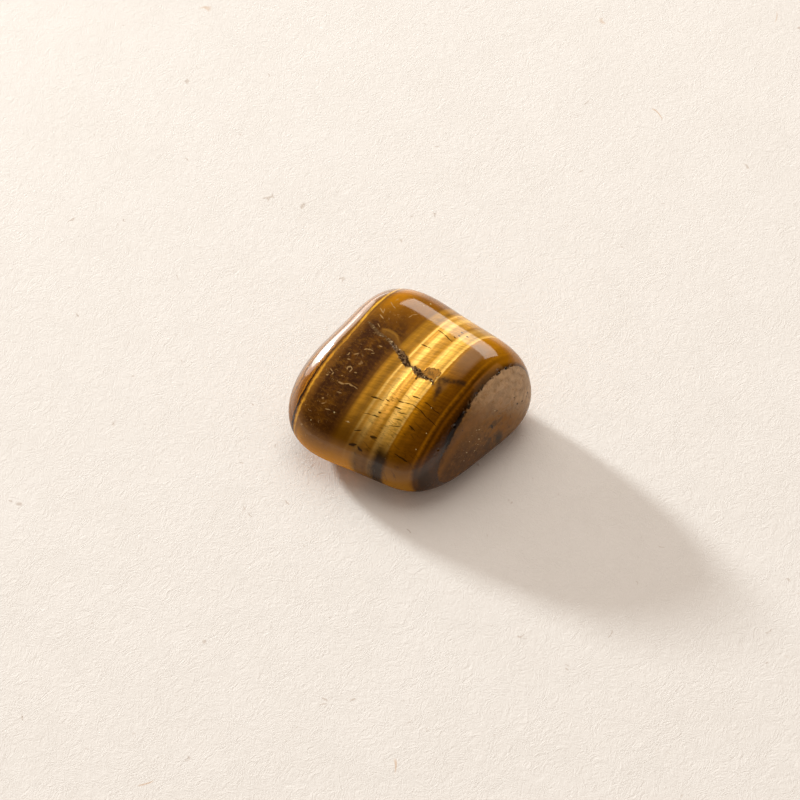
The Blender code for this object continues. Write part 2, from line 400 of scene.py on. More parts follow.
grid = bmesh.new()
bmesh.ops.create_cube(grid, size=2.0)
bmesh.ops.subdivide_edges(grid, edges=grid.edges[:], cuts=CELLS - 1, use_grid_fill=True)
for vertex in grid.verts:
    spread = [math.tan(value * CELL_SPREAD * math.pi / 4.0) for value in vertex.co]
    vertex.co = Vector((spread[0] * reaches[2], spread[1] * reaches[4], spread[2] * reaches[0]))
for reach in REFINE_NEAR:
    skin = to_skin(grid)
    grid.verts.index_update()
    ends = np.array([[edge.verts[0].index, edge.verts[1].index] for edge in grid.edges])
    middles = (skin[ends[:, 0]] + skin[ends[:, 1]]) / 2.0
    chosen = near_detail(middles, reach) | near_marks(middles, reach * MARK_SHARE)
    marked = [edge for edge, take in zip(grid.edges, chosen) if take]
    bmesh.ops.subdivide_edges(grid, edges=marked, cuts=1, use_grid_fill=True)
places = to_skin(grid)
print(len(places), "corners on the skin")

# %% [markdown]
# # Carving the crack, the seam and the pits
# The crack healed long ago and was polished over, but softer grains broke out of it. A
# Bump node would only pretend that depth, and it would vanish at a glancing angle, so the
# grooves are real. Each corner is moved inwards by a profile of its distance from the
# line, and a noise makes the groove ragged. The same is done along the seam, where a few
# round pits lie as well.

# %% Sink the grooves and pits
CRACK_DEPTH = 0.06        # in mm
CRACK_CRUMBLE = 0.1       # how far the noise moves the crack's edge, in mm
CRACK_SLOPE = 0.3         # how far in from the edge it is fully deep, in mm
CRACK_RIM = -0.03         # the highest rim beside the crack, in mm
CRACK_MEAN = 0.7          # how much of its depth the crack has on the whole
CRACK_ROUGH = 0.8         # and how much the noise adds or takes
SEAM_WIDTH = 0.22
SEAM_DEPTH = 0.012
SEAM_CRUMBLE = 0.25
SEAM_MEAN = 0.35
SEAM_ROUGH = 1.6
SEAM_MOST = 1.4           # but the seam is never deeper than this share of its depth
SEAM_FROM = 6.0           # the seam's groove begins at this height, in mm
SEAM_RISE = 1.5           # and it is fully deep this much higher
PIT_PLACES = ((-5.3, -8.9, 0.2), (-2.4, -9.0, 0.26), (-0.4, -9.1, 0.18), (2.1, -9.0, 0.34),
              (3.9, -9.2, 0.2), (6.3, -9.2, 0.3), (7.3, -9.5, 0.24), (8.3, -9.6, 0.28),
              (-4.6, 0.9, 0.12), (-7.8, -1.4, 0.16), (-8.3, 0.6, 0.14))
PIT_DEPTH = 0.55          # of the pit's own radius
PIT_ROUGH = 0.5           # how ragged its outline is
COARSE, FINE = 1.6, 4.0   # the two scales of the noise
FINE_SHARE = 0.4          # how much the fine one counts beside the coarse one
REST_BELOW = 3.0          # only the skin below this height is eased onto the floor, in mm


def groove(distance, width):
    """1 in the middle of a groove, easing to 0 at its edge."""
    share = np.clip(np.abs(distance) / width, 0.0, 1.0)
    return (1.0 - share ** 2) ** 2


def rough(points, scale):
    """A repeatable noise from -1 to 1 at each point; a larger scale is finer."""
    return np.array([noise.noise(Vector(point) * scale) for point in points])


crack_gap, crack_pale = line_gap(places, CRACK_ROUTE)
spur_gap, spur_pale = line_gap(places, CRACK_SPUR)
crack_pale = np.where(spur_gap < crack_gap, spur_pale, crack_pale)
crack_gap = np.minimum(crack_gap, spur_gap)
ragged = np.zeros(len(places))
close = near_detail(places, REFINE_NEAR[0])
ragged[close] = rough(places[close], COARSE) + FINE_SHARE * rough(places[close], FINE)
sunk = np.clip(-(crack_gap + CRACK_CRUMBLE * ragged) / CRACK_SLOPE, 0.0, 1.0)
crack_dent = CRACK_DEPTH * sunk * (CRACK_MEAN + CRACK_ROUGH * ragged)
on_top = np.clip((places[:, 2] - SEAM_FROM) / SEAM_RISE, 0.0, 1.0)
from_seam = across_bands(places) - SEAM_AT - SEAM_CRUMBLE * ragged
seam_dent = SEAM_DEPTH * groove(from_seam, SEAM_WIDTH)
seam_dent *= on_top * np.clip(SEAM_MEAN + SEAM_ROUGH * ragged, 0.0, SEAM_MOST)
pit_centres = skin_above([(x, y) for x, y, radius in PIT_PLACES])
pit_dent = np.zeros(len(places))
for centre, (x, y, radius) in zip(pit_centres, PIT_PLACES):
    away = np.linalg.norm(places - centre, axis=1) * (1.0 + PIT_ROUGH * ragged)
    pit_dent = np.maximum(pit_dent, radius * PIT_DEPTH * groove(away, radius))
dent = np.clip(crack_dent, CRACK_RIM, None) + seam_dent + pit_dent
carved = places - outward(places) * dent[:, None]
height = carved[:, 2]
eased = (height + np.sqrt(height ** 2 + REST_EASE ** 2)) / 2.0
carved[:, 2] = np.where(height < REST_BELOW, eased - eased.min(), height)
print("deepest dent:", round(float(dent.max()), 3), "mm")

# %% [markdown]
# # From corners to one smooth object
# The carved corners go back into the grid, which becomes a mesh. The finish needs to know
# how far each point lies from the crack and how strongly it is marked, so both are stored
# on the mesh as attributes, and an Attribute node reads them. Distances change evenly from
# corner to corner, so they stay exact between them, which a painted mask wouldn't.

# %% Make the stone's object
MARK_SHAKE = (0.06, 0.04, 0.0)  # how far a noise moves the marks' outlines, in mm
SHAKE_SCALE = 2.0
grid.verts.index_update()
for vertex, place in zip(grid.verts, carved):
    vertex.co = Vector(place) * MM
bmesh.ops.recalc_face_normals(grid, faces=grid.faces[:])
stone_mesh = bpy.data.meshes.new("polished_stone")
grid.to_mesh(stone_mesh)
grid.free()
stone_mesh.shade_smooth()
shaken = places + rough(places, SHAKE_SCALE)[:, None] * np.array(MARK_SHAKE)
mesh_layers = {"crack_gap": crack_gap, "crack_pale": crack_pale,
               "lens_depth": depth_inside(places, LENS_EDGE),
               "flake_depth": depth_inside(places, FLAKE_EDGE),
               "dashes": stroke_mask(shaken, DASHES), "flecks": stroke_mask(shaken, FLECKS),
               "specks": stroke_mask(places, SPECK_ROWS),
               "smoke": np.minimum(*[line_gap(places, arm)[0] for arm in SMOKE_ARMS]),
               "side_dark": side_mask(shaken, SIDE_DARK),
               "side_rust": side_mask(shaken, SIDE_RUST),
               "side_pale": side_mask(places, SIDE_PALE)}
for label, values in mesh_layers.items():
    layer = stone_mesh.attributes.new(label, "FLOAT", "POINT")
    layer.data.foreach_set("value", np.asarray(values, dtype=np.float32))
stone = add_object("polished_stone", stone_mesh)
print("the stone has", sum(len(face.vertices) - 2 for face in stone_mesh.polygons), "triangles")

# %% [markdown]
# # Small helpers for building materials
# A material is a board of nodes joined by wires. These helpers place a node, join it and
# set what isn't joined, so each effect below reads as a short list of steps. A wire knows
# the board it lies on, so a helper that is given one needn't be told where to work.
# Colours are written in percent as they look on a screen, and changed to the linear
# numbers that shaders mix.

# %% Node helpers
WIRE = bpy.types.NodeSocket


def feed(socket, value):
    """Joins a wire to a socket, or sets the socket where the value is plain."""
    if isinstance(value, WIRE):
        socket.id_data.links.new(value, socket)
    elif value is not None:
        socket.default_value = value


def place_node(tree, kind, **settings):
    node = tree.nodes.new("ShaderNode" + kind)
    for name, value in settings.items():
        setattr(node, name, value)
    return node


def step(kind, values, **settings):
    """Places a node beside the wires it is given, and feeds its inputs in turn."""
    tree = next(value.id_data for value in values if isinstance(value, WIRE))
    node = place_node(tree, kind, **settings)
    for socket, value in zip(node.inputs, values):
        feed(socket, value)
    return node


def dress(node, **values):
    """Feeds a node's inputs by their names, where spaces are written as _."""
    for label, value in values.items():
        feed(node.inputs[label.replace("_", " ")], value)
    return node.outputs


def calc(operation, first, second=None, clamp=False):
    """One step of arithmetic on plain numbers or wires."""
    return step("Math", (first, second), operation=operation, use_clamp=clamp).outputs[0]


def times(first, *others):
    for other in others:
        first = calc("MULTIPLY", first, other)
    return first


def plus(first, second, clamp=False):
    return calc("ADD", first, second, clamp)


def minus(first, second):
    return calc("SUBTRACT", first, second)


def larger(first, second):
    return calc("MAXIMUM", first, second)


def swing(noise, width):
    """A noise from 0 to 1, turned into a shift to either side."""
    return times(minus(noise, 0.5), width)


def vector_calc(operation, first, second=None, scale=None):
    node = step("VectorMath", (first, second, None, scale), operation=operation)
    return node.outputs["Value" if operation in ("DOT_PRODUCT", "LENGTH") else "Vector"]


def parts(vector):
    """The x, y and z of a vector."""
    return step("SeparateXYZ", (vector,)).outputs


def ease(value, low, high, to_low=0, to_high=1):
    """Eases from one number to another while the input goes from low to high."""
    return step("MapRange", (value, low, high, to_low, to_high),
                interpolation_type="SMOOTHSTEP").outputs[0]


def fade(value, low, high, top=1):
    """The opposite: from the top down to 0."""
    return ease(value, low, high, top, 0)


def zone(value, low, high, soft):
    """1 between two limits, with soft ends."""
    return times(ease(value, low - soft, low + soft), fade(value, high - soft, high + soft))


def blend(share, first, second, mode="MIX"):
    """A mix of two colours. The node's colour sockets come after six others."""
    return step("Mix", (share,) + 5 * (None,) + (first, second), data_type="RGBA",
                blend_type=mode).outputs[2]


def tint(colour, share, other, strength):
    """A colour blended towards another where a mask says so, at a strength."""
    return blend(times(share, strength), colour, other)


def shade(colour, light):
    """A colour made lighter or darker by a number."""
    return blend(1, colour, vector_calc("SCALE", (1, 1, 1), scale=light), "MULTIPLY")


def grain(vector, scale, detail=2, roughness=0.5, warp=0):
    """A soft cloudy noise from 0 to 1."""
    return dress(place_node(vector.id_data, "TexNoise"), Vector=vector, Scale=scale,
                 Detail=detail, Roughness=roughness, Distortion=warp)["Fac"]


def stretch(vector, x, y, z):
    """Squeezes a pattern along each axis: a larger number makes it finer that way."""
    return vector_calc("MULTIPLY", vector, (x, y, z))


def screen(*shares):
    """Red, green and blue in percent, as on a screen, as the linear colour to mix."""
    shares = [share / 100 for share in shares]
    return tuple(((share + 0.055) / 1.055) ** 2.4 if share > 0.04 else share / 12.92
                 for share in shares) + (1,)


def node_group(name, outputs, **inputs):
    """Makes a rule into a node group, and into a call that places the group.

    An input is given with its usual number, or None for a vector.
    """
    def build(rule):
        tree = bpy.data.node_groups.new(name, "ShaderNodeTree")
        for label, value in inputs.items():
            kind = "NodeSocketVector" if value is None else "NodeSocketFloat"
            label = label.replace("_", " ")
            socket = tree.interface.new_socket(label, in_out="INPUT", socket_type=kind)
            if value is not None:
                socket.default_value = value
        for label, kind in outputs.items():
            tree.interface.new_socket(label, in_out="OUTPUT", socket_type="NodeSocket" + kind)
        made = rule(*tree.nodes.new("NodeGroupInput").outputs[:len(inputs)])
        end = tree.nodes.new("NodeGroupOutput")
        for socket, value in zip(end.inputs, made if len(outputs) > 1 else (made,)):
            feed(socket, value)

        def place_group(*values):
            placed = step("Group", values, node_tree=tree).outputs
            return placed if len(outputs) > 1 else placed[0]
        return place_group
    return build


def new_board(name):
    """A material and its empty board, with the place on it in mm."""
    material = bpy.data.materials.new(name)
    material.use_nodes = True
    tree = material.node_tree
    tree.nodes.clear()
    seen_at = place_node(tree, "TexCoord").outputs["Object"]
    return material, tree, vector_calc("SCALE", seen_at, scale=1 / MM)


print("helpers ready")

# %% [markdown]
# # Effects that are shared: mottling, curled flecks and drift
# Iron-stained quartz and handmade paper look nothing alike, but both are cloudy at two
# scales, and both hold thin curled things: golden flecks in the stone, plant fibres in
# the paper. In both, what was once straight has drifted a little. Each effect is
# therefore a node group, built once and given its own sizes in each material. A curled
# fleck is the thin edge along which a noise crosses its middle, kept only where a second
# noise is high.

# %% The shared groups
DUST_FINENESS = 5.3       # how much finer the second scale of the mottling is
DUST_SHARE = 0.35
ISLAND_PLACE = (17, 5, 9)  # where the noise that keeps or drops flecks is read


@node_group("soft mottle", {"Mottle": "Float"}, Place=None, Size=1, Contrast=1)
def mottle(place, size, contrast):
    fineness = calc("DIVIDE", 1, size)
    clouds = grain(place, fineness, 3, 0.6, 0.3)
    dust = grain(place, times(fineness, DUST_FINENESS), 3, 0.65)
    mixed = plus(times(clouds, 1 - DUST_SHARE), times(dust, DUST_SHARE))
    return plus(swing(mixed, contrast), 0.5, clamp=True)


@node_group("curled flecks", {"Flecks": "Float"}, Place=None, Size=1, Thickness=0.02, Rarity=0.6)
def curls(place, size, thickness, rarity):
    fineness = calc("DIVIDE", 1, size)
    from_edge = calc("ABSOLUTE", minus(grain(place, fineness, 1, 0.4, 0.6), 0.5))
    line = fade(from_edge, times(thickness, 0.4), thickness)
    elsewhere = vector_calc("ADD", place, ISLAND_PLACE)
    island = grain(elsewhere, times(fineness, 1.15), 1, 0.5)
    return times(line, ease(island, rarity, plus(rarity, 0.05)))


@node_group("drift", {"Place": "Vector"}, Place=None, Fineness=1, Reach=1)
def drifted(place, fineness, reach):
    cloud = dress(place_node(place.id_data, "TexNoise"), Vector=place, Scale=fineness)["Color"]
    shift = vector_calc("SUBTRACT", cloud, (0.5, 0.5, 0.5))
    return vector_calc("ADD", place, vector_calc("SCALE", shift, scale=reach))


print("shared groups:", ", ".join(group.name for group in bpy.data.node_groups))

# %% [markdown]
# # The silk: bands and fibres
# Tiger's eye is quartz that grew around fine parallel fibres. The fibres lie across the
# bands and lean a little differently in each one, so a band flashes gold or stays brown
# as a whole. Painting a highlight would freeze it in place. Here the normal itself leans
# by each band's own amount, so the light decides which bands flash. One group says
# how far across the bands a point lies, one draws the fine lines along them, one draws
# the fibres, and one leans the normal.

# %% Groups for bands, fibres and their lean
FIBRE_SLANT = 0.37        # how far a fibre moves along the bands for each mm across them
STRAIGHT_REACH = 4        # the bands bend only further along than this, in mm


@node_group("band place", {"Across": "Float", "Along": "Float"}, Place=None)
def band_place(place):
    from_heart = vector_calc("SUBTRACT", place, tuple(HEART))
    level = vector_calc("DOT_PRODUCT", from_heart, tuple(BAND_LEAN))
    sway = swing(grain(stretch(place, 0.09, 0.12, 0.14), 1, 1, 0.4), 0.4)
    x = parts(place)["X"]
    near_end = calc("POWER", larger(minus(-STRAIGHT_REACH, x), 0), 2)
    near_bow = times(near_end, -0.014, fade(level, 0.5, 4.5))
    far_end = calc("POWER", larger(minus(x, STRAIGHT_REACH), 0), 2)
    far_bow = times(far_end, 0.016, fade(level, -5, -1.5))
    silky_bow = times(ease(x, -1, 4, 0, -0.28), ease(level, 4, 6))
    bow = plus(plus(near_bow, far_bow), plus(silky_bow, sway))
    return plus(level, bow), x


@node_group("fine band lines", {"Lines": "Float"}, Across=0, Along=0, Lines_per_mm=2)
def band_lines(across, along, count):
    joined = step("CombineXYZ", (times(across, count), times(along, 0.07)))
    return grain(joined.outputs[0], 1, 3, 0.62)


@node_group("silk fibres", {"Fibres": "Float"}, Place=None, Across=0, Fibres_per_mm=5, Length=2)
def silk_fibres(place, across, count, length):
    x, _, z = parts(place)
    sideways = plus(x, times(across, FIBRE_SLANT))
    joined = step("CombineXYZ", (times(sideways, count), calc("DIVIDE", across, length),
                                 times(z, count)))
    return grain(joined.outputs[0], 1, 2, 0.6)


@node_group("leaning silk", {"Normal": "Vector"}, Normal=None, Lean=0, Ruffle=0)
def leaning_silk(normal, lean, ruffle):
    leaned = vector_calc("SCALE", (0, 1, 0), scale=lean)
    ruffled = vector_calc("SCALE", (1, 0, 0), scale=ruffle)
    steadied = stretch(normal, 0.65, 1, 1)
    moved = vector_calc("ADD", steadied, vector_calc("ADD", leaned, ruffled))
    return vector_calc("NORMALIZE", moved)


print(len(bpy.data.node_groups), "groups ready")

# %% [markdown]
# # The stone's colours, band by band
# Going across the stone from its silky side to its brown side, it passes an ochre rim, a
# thin dark line, a bright yellow line, deep umber, gold, amber, a second yellow line and
# a nearly black margin. A colour ramp holds them as (mm across, colour). More ramps say
# how far the silk leans in each band, how much of it shines like metal, and how the side
# behind the yellow line is banded.

# %% Ramps across the bands
BAND_SPAN = 12            # the ramps run from this far on the brown side to as far opposite
INK = screen(13, 8, 4)
MARGIN = screen(44, 26, 2)
AMBER = screen(72, 47, 5)
MID_AMBER = screen(57, 36, 3)
DEEP_AMBER = screen(48, 29, 2)
THIN_GOLD = screen(64, 41, 4)
LAST_LINE = screen(50, 30, 2)
NIGHT_AMBER = screen(30, 16.5, 1)
GOLD = screen(82, 62, 26)
PALE_GOLD = screen(89, 70, 35)
WARM_GOLD = screen(78, 56, 21)
DULL_GOLD = screen(68, 47, 13)
TAN = screen(58, 40, 13)
BROWN = screen(44, 28, 10)
UMBER = screen(27, 16, 8.5)
LINE_GOLD = screen(76, 54, 17)
YELLOW = screen(84, 63, 20)
OCHRE = screen(44, 28, 8)
RUSTY_GOLD = screen(72, 46, 12)
ORANGE_EDGE = screen(46, 27, 3)
BAND_COLOURS = (
    (-9.66, NIGHT_AMBER), (-9.44, LAST_LINE), (-9.22, NIGHT_AMBER), (-8.98, DEEP_AMBER),
    (-8.84, THIN_GOLD), (-8.66, MARGIN), (-7.9, DEEP_AMBER), (-6.7, MID_AMBER),
    (-6.25, AMBER), (-5.96, AMBER), (-5.83, PALE_GOLD), (-5.6, GOLD), (-4.9, GOLD),
    (-4.5, PALE_GOLD), (-4.3, PALE_GOLD), (-3.9, DULL_GOLD), (-3.7, DULL_GOLD),
    (-3.4, WARM_GOLD), (-2.9, WARM_GOLD), (-2.5, PALE_GOLD), (-2.2, PALE_GOLD),
    (-1.8, WARM_GOLD), (-1.6, WARM_GOLD), (-1.38, PALE_GOLD), (-1.1, DULL_GOLD),
    (-0.7, TAN), (-0.2, DULL_GOLD), (0.18, DULL_GOLD), (0.6, BROWN), (1.4, UMBER),
    (5.2, UMBER), (6.25, BROWN))
OUTER_COLOURS = (
    (7.9, OCHRE), (8.5, DEEP_AMBER), (8.75, NIGHT_AMBER), (8.95, MID_AMBER), (9.6, OCHRE),
    (9.85, UMBER), (10.15, MID_AMBER), (10.6, OCHRE), (10.8, UMBER), (11.05, DEEP_AMBER),
    (11.5, BROWN))
SILK_LEAN = (
    (-9.5, 0), (-9, 0.08), (-8.88, 0.18), (-8.7, 0.1), (-7.2, 0.16), (-6.2, 0.3),
    (-5.95, 0.34), (-5.83, 0.46), (-5.55, 0.43), (-5.4, 0.37), (-5.25, 0.43), (-4.75, 0.43),
    (-4.64, 0.38), (-4.52, 0.44), (-4.3, 0.44), (-3.8, 0.39), (-2.95, 0.41), (-2.45, 0.425),
    (-2.18, 0.425), (-2.04, 0.36), (-1.9, 0.42), (-1.6, 0.41), (-1.38, 0.46), (-1.1, 0.37),
    (-0.5, 0.3), (0.18, 0.31), (0.6, 0.2), (0.9, 0.12), (1.4, 0.06), (6, 0),
    (6.35, 0.06), (6.85, 0))
SILK_SHINE = (
    (-9.6, 0), (-8.8, 0.15), (-6.2, 0.2), (-5.8, 0.32), (-1.2, 0.32), (-0.6, 0.25),
    (1, 0.12), (6.85, 0.05))


def band_ramp(across, stops):
    """A ramp of (mm across the bands, colour or grey) stops."""
    node = step("ValToRGB", (calc("DIVIDE", plus(across, BAND_SPAN), 2 * BAND_SPAN),))
    points = node.color_ramp.elements
    points.remove(points[1])
    for index, (mm, colour) in enumerate(stops):
        position = (mm + BAND_SPAN) / (2 * BAND_SPAN)
        point = points.new(position) if index else points[0]
        point.position = position
        point.color = colour if isinstance(colour, tuple) else (colour, colour, colour, 1)
    return node.outputs["Color"]


polish, board, place = new_board("polished_tiger_eye")
x, y, z = parts(place)
level, along = band_place(place)
coarse, fine = band_lines(level, along, 1), band_lines(level, along, 3.6)
fibres = silk_fibres(place, level, 4, 1.6)
wandering = plus(level, swing(fibres, 0.14))
body_colour, lean, shine = (band_ramp(wandering, stops)
                            for stops in (BAND_COLOURS, SILK_LEAN, SILK_SHINE))
print(len(BAND_COLOURS), "colour stops across the bands")

# %% [markdown]
# # Streaks, and the side behind the yellow line
# Fine lines and fibres make every band a little lighter and darker. They multiply the
# colour, so a dark band stays dark. The side that faces away has broad bands of its own,
# like the contours of a map, because the skin cuts the layers there at a slant.

# %% Body colour with streaks
streaked = times(ease(coarse, 0.28, 0.72, 0.92, 1.06), ease(fine, 0.28, 0.72, 0.9, 1.08),
                 ease(fibres, 0.3, 0.7, 0.84, 1.12))
cloud = mottle(stretch(place, 0.8, 1, 1.2), 3.2, 1.8)
outer_bands = band_ramp(plus(level, swing(cloud, 1.1)), OUTER_COLOURS)
orange_edge = times(fade(x, -7.5, -3.5), fade(level, 7.8, 8.6))
outer_colour = blend(orange_edge, outer_bands, ORANGE_EDGE)
body = blend(ease(level, 6.88, 7.02), body_colour, outer_colour)
body = shade(body, streaked)
print("the streaked bands are ready")

# %% [markdown]
# # The golden line and the ink line at the back edge
# Two thin lines run along the back edge. They were once one clean layer, and rust has
# eaten into it, so the golden one is blotchy, has a rusty patch and a weaker second line
# beside it. Their place is shaken by a noise, because a ramp would draw them too straight.

# %% The two thin lines
shaking = ease(x, -2, 2, 0.65, 0.3)
ragged_level = plus(level, swing(grain(place, 1.3, 4, 0.7), shaking))
line_level = minus(ragged_level, ease(x, 0.5, 4.5, 0, 0.22))
line_colour = blend(ease(x, -0.5, 3.5), LINE_GOLD, YELLOW)
blotches = grain(stretch(place, 0.45, 1, 1), 1.5, 3, 0.6)
line_mask = times(zone(line_level, 6.52, 6.84, 0.12), ease(blotches, 0.36, 0.54, 0.45, 1))
body = blend(line_mask, body, line_colour)
rusty_patch = times(zone(line_level, 6.6, 7.35, 0.15), ease(blotches, 0.5, 0.62),
                    zone(x, -6.5, -1, 1))
body = tint(body, rusty_patch, RUSTY_GOLD, 0.7)
second_line = times(zone(ragged_level, 7.46, 7.58, 0.06), zone(x, -10, -4, 1))
body = tint(body, second_line, RUSTY_GOLD, 0.7)
ink_level = times(minus(ragged_level, 7.03), ease(x, -9.5, -6.5, 0.5, 0.9))
body = blend(times(zone(ink_level, 0, 0.18, 0.05), fade(x, -7, 3, 0.95)), body, INK)
print("thin lines ready")

# %% [markdown]
# # What changes the colours along a band
# A band isn't the same from end to end. Umber turns into clear amber at the far end. Some
# changes are painted light and shade: painted shade dulls the gold at the far end, turns it
# olive at the near end where the skin bends down and darkens the umber there, and a pale
# wash over the far amber is a painted reflection. Each change is a mask that blends
# towards another colour, so it can be tuned alone.

# %% Body colour along the bands
WISP_AMBER = screen(54, 36, 11)
CLEAR_AMBER = screen(58, 36, 5)
UMBER_IN_PAINTED_SHADE = screen(29, 15.5, 0.5)
BRIGHT_AMBER = screen(78, 50, 6)
OLIVE_PAINTED_SHADE = screen(37, 22.5, 1)
NEAR_END_GOLD = screen(82, 55, 10)
NEAR_END_AMBER = screen(64, 43, 1)
PAINTED_REFLECTION_WASH = screen(56, 43, 31)
in_umber = zone(level, 0.6, 6.2, 0.6)
amber_end = times(in_umber, ease(plus(x, times(cloud, 2)), 2.5, 9))
amber = blend(ease(level, 3, 5.8), CLEAR_AMBER, BRIGHT_AMBER)
body = tint(body, amber_end, amber, 0.9)
# Painted shade: the gold is dulled to tan towards the far end, where its flash fades.
far_gold_painted_shade = times(zone(level, -5.4, -3.7, 0.3), ease(x, 6, 8.5))
body = tint(body, far_gold_painted_shade, TAN, 0.7)
far_amber = times(zone(level, -9.9, -6.2, 0.3), ease(x, 3, 9))
body = tint(body, far_amber, AMBER, 0.8)
# Painted reflection: a pale grey wash over the amber near the brown side, towards the far end.
painted_reflection = times(zone(level, -8, -6.1, 0.35), times(ease(x, 0.5, 5), fade(x, 6.5, 8.5)))
body = tint(body, painted_reflection, PAINTED_REFLECTION_WASH, 0.75)
body = blend(times(in_umber, ease(cloud, 0.45, 0.95, 0, 0.45)), body, CLEAR_AMBER)
# Painted shade: the umber darkens towards the near end.
near_end_painted_shade = times(fade(x, -11, -6.5, 0.55), zone(level, 0.3, 6.5, 0.5))
body = blend(near_end_painted_shade, body, UMBER_IN_PAINTED_SHADE)
wisps = mottle(stretch(place, 1, 0.45, 1), 0.38, 2.6)
body = blend(times(ease(wisps, 0.45, 1, 0, 0.5), in_umber), body, WISP_AMBER)
# Painted shade: the gold and amber turn olive towards the near end, where the skin bends down.
gold_in_painted_shade = times(fade(x, -10.8, -7.2), zone(level, -5.6, 0.7, 0.4))
amber_in_painted_shade = times(fade(x, -11, -6), zone(level, -9.2, -5.6, 0.4))
body = tint(body, larger(gold_in_painted_shade, amber_in_painted_shade), OLIVE_PAINTED_SHADE, 0.85)
low_down = times(fade(z, 3, 7.5, 0.9), fade(x, -9.5, -6))
body = blend(times(low_down, zone(level, -2.2, 6.3, 0.5)), body, NEAR_END_GOLD)
body = blend(times(low_down, zone(level, -9, -5, 0.3)), body, NEAR_END_AMBER)
print("body colour ready")

# %% [markdown]
# # Small things inside the stone
# Short dark cracks cross the gold along the fibres, and golden flecks like bits of curled
# thread float in the umber. The large ones were placed as strokes on the mesh, and the
# many small ones that are all alike come from noise.

# %% Dashes and flecks
DASH_COLOUR = screen(15, 9, 3)
FLECK_COLOUR = screen(68, 54, 34)
SPECK_COLOUR = screen(95, 86, 62)


def mark(label):
    """How strongly the mesh is marked, as it was stored at each corner."""
    return place_node(board, "Attribute", attribute_name=label).outputs["Fac"]


seen_from_above = stretch(drifted(place, 2.4, 0.28), 1, 1, 0)
dash_mask = mark("dashes")
dash_noise = grain(stretch(seen_from_above, 5, 0.9, 1), 1, 2, 0.5, 0.4)
in_gold = times(zone(level, -9, -2, 0.8), ease(x, -3, -1, 1, 0.15))
body = tint(body, times(ease(dash_noise, 0.57, 0.67), in_gold), DASH_COLOUR, 0.38)
body = tint(body, dash_mask, DASH_COLOUR, 0.9)
crumbs = curls(place, 0.34, 0.05, 0.6)
scattered = times(larger(curls(place, 0.62, 0.035, 0.63), times(crumbs, 0.3)),
                  zone(level, 2.2, 6.4, 0.9))
body = tint(body, larger(mark("flecks"), times(scattered, 0.55)), FLECK_COLOUR, 0.85)
print("flecks and dashes ready")

# %% [markdown]
# # The healed crack
# The crack is filled with dark rust and pale grains, and the pale grains are partly painted
# glints. Beside it lies a lens of clearer quartz with a thin golden rim, and at its end a
# brown flake lies under the polish. The mesh says how far each point is from the filling and
# how deep inside each pocket, and a noise added to those distances makes the edges crumble.

# %% The crack's filling, lens and flake
CRACK_DARK = screen(23, 15.5, 8.5)
CRACK_GREY = screen(46, 35, 23)
CRACK_SOFT = screen(40, 30, 18)
CRACK_RUST = screen(42, 28, 14)
PALE_GRAIN_AND_GLINT = screen(84, 74, 55)
CLEAR_LENS = screen(50, 34, 14)
LENS_RIM = screen(76, 54, 20)
FLAKE = screen(66, 44, 17)
crack_gap = mark("crack_gap")
rubble = grain(place, 2.6, 3, 0.6)
sand = grain(place, 3.4, 2, 0.55, 0.3)
ragged = swing(rubble, 0.6)
ragged_gap = plus(crack_gap, times(ragged, ease(y, 0.5, 2.5, 1, 0.45)))
crack_mask = fade(ragged_gap, -0.14, 0.12)
ragged_lens = plus(mark("lens_depth"), times(ragged, 0.4))
body = tint(body, ease(ragged_lens, -0.15, 0.4), CLEAR_LENS, 0.65)
lens_rim = times(zone(ragged_lens, 0.1, 0.34, 0.2), ease(crack_gap, 0.25, 0.8, 0, 0.42))
body = blend(lens_rim, body, LENS_RIM)
ragged_flake = plus(mark("flake_depth"), times(ragged, 0.5))
flake_mask = ease(ragged_flake, 0, 0.1)
flake_colour = blend(ease(rubble, 0.4, 0.54), CRACK_RUST, FLAKE)
body = tint(body, flake_mask, flake_colour, 0.85)
flake_rim = times(zone(ragged_flake, -0.02, 0.12, 0.06), ease(sand, 0.46, 0.56))
body = tint(body, flake_rim, CRACK_DARK, 0.8)
# The pale spots in the filling are partly pale grains and partly painted glints.
grains = plus(sand, swing(mark("crack_pale"), 0.16))
filling = blend(ease(grains, 0.42, 0.58), CRACK_DARK, CRACK_GREY)
filling = blend(ease(grains, 0.64, 0.74), filling, PALE_GRAIN_AND_GLINT)
filling = blend(ease(y, 2, 4.5, 0, 0.55), filling, CRACK_SOFT)
body = blend(crack_mask, body, filling)
body = blend(mark("specks"), body, SPECK_COLOUR)
in_crack = larger(crack_mask, times(flake_mask, 0.6))
print("crack ready")

# %% [markdown]
# # Haze and smoke
# Iron has seeped out of the crack's lower end as a pale haze with two dark, smoky arms,
# and a third soft dark column crosses the bands at the near end; its near-black depth is
# partly painted shade. None of them has an edge, so they are wide, soft masks whose
# distance is disturbed by the same noise.

# %% The haze, the arms and the column
HAZE = screen(44, 32, 19)
SMOKE = screen(18, 13, 9)
END_SMOKE_AND_SHADE = screen(15, 9, 3)


def spot_gap(seen_at, centre, size):
    """How far points are from a spot's centre, as a share of its size each way."""
    away = vector_calc("SUBTRACT", seen_at, centre)
    shares = tuple(1 / side if side else 0 for side in size)
    return vector_calc("LENGTH", vector_calc("MULTIPLY", away, shares))


haze_gap = plus(spot_gap(seen_from_above, (0.1, -5.2, 0), (1.5, 1.1, 0)), times(ragged, 0.5))
haze = times(fade(haze_gap, 0.4, 1.1), fade(level, -6.1, -5.9, 0.55))
body = blend(haze, body, HAZE)
smoke = fade(plus(mark("smoke"), ragged), -0.2, 0.4, 0.8)
body = blend(smoke, body, SMOKE)
